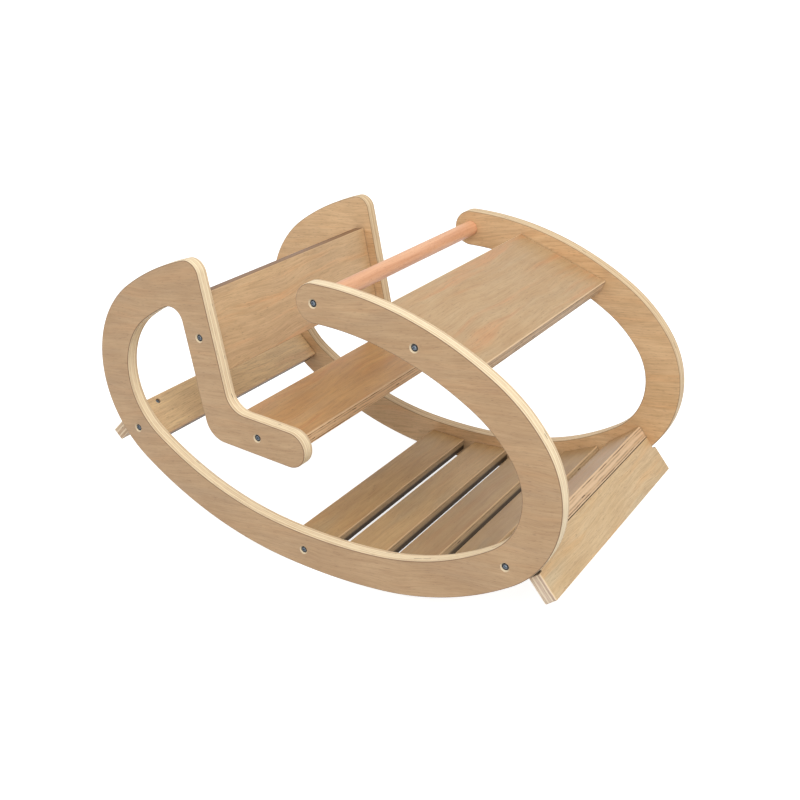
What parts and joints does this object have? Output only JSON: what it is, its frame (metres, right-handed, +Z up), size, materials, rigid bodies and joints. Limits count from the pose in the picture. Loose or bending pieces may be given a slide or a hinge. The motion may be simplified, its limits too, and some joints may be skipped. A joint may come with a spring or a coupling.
{
  "type": "balance rocker",
  "caption": "Wooden rocking toy: two curved plywood side panels joined by a seat, backrest, table board, round handle, floor slats and stop boards.",
  "frame": {"origin": "on the floor, below the middle of the rocker's length and width", "axes": "+X the way the rider faces, +Z up from the floor, +Y to the rider's left; the side panels are planes of constant Y"},
  "size_m": [0.7058, 0.4, 0.3975],
  "materials": {
    "panel_plywood": "clear satin lacquer on birch plywood",
    "board_plywood": "clear satin lacquer on birch plywood",
    "beech": "clear satin lacquer on turned beech",
    "pin_wood": "unfinished fluted dowel pin, glued in and hidden",
    "steel": "plain steel, darker in the socket"
  },
  "bodies": {
    "root": {"backrest_board": "board_plywood", "floor_slat_1": "board_plywood", "floor_slat_2": "board_plywood", "floor_slat_3": "board_plywood", "floor_slat_4": "board_plywood", "front_slat": "board_plywood", "front_stop_board": "board_plywood", "handle_dowel": "beech", "left_backrest_pin": "pin_wood", "left_backrest_screw": "steel", "left_floor_slat_1_pin": "pin_wood", "left_floor_slat_1_screw": "steel", "left_floor_slat_2_front_pin": "pin_wood", "left_floor_slat_2_rear_pin": "pin_wood", "left_floor_slat_3_front_pin": "pin_wood", "left_floor_slat_3_rear_pin": "pin_wood", "left_floor_slat_4_front_pin": "pin_wood", "left_floor_slat_4_rear_pin": "pin_wood", "left_front_slat_pin": "pin_wood", "left_front_slat_screw": "steel", "left_front_stop_screw": "steel", "left_handle_screw": "steel", "left_rear_slat_pin": "pin_wood", "left_rear_slat_screw": "steel", "left_rear_stop_screw": "steel", "left_seat_pin": "pin_wood", "left_seat_screw": "steel", "left_side_panel": "panel_plywood", "left_table_pin": "pin_wood", "left_table_screw": "steel", "rear_slat": "board_plywood", "rear_stop_board": "board_plywood", "right_backrest_pin": "pin_wood", "right_backrest_screw": "steel", "right_floor_slat_1_pin": "pin_wood", "right_floor_slat_1_screw": "steel", "right_floor_slat_2_front_pin": "pin_wood", "right_floor_slat_2_rear_pin": "pin_wood", "right_floor_slat_3_front_pin": "pin_wood", "right_floor_slat_3_rear_pin": "pin_wood", "right_floor_slat_4_front_pin": "pin_wood", "right_floor_slat_4_rear_pin": "pin_wood", "right_front_slat_pin": "pin_wood", "right_front_slat_screw": "steel", "right_front_stop_screw": "steel", "right_handle_screw": "steel", "right_rear_slat_pin": "pin_wood", "right_rear_slat_screw": "steel", "right_rear_stop_screw": "steel", "right_seat_pin": "pin_wood", "right_seat_screw": "steel", "right_side_panel": "panel_plywood", "right_table_pin": "pin_wood", "right_table_screw": "steel", "seat_board": "board_plywood", "table_board": "board_plywood"}
  },
  "joints": []
}
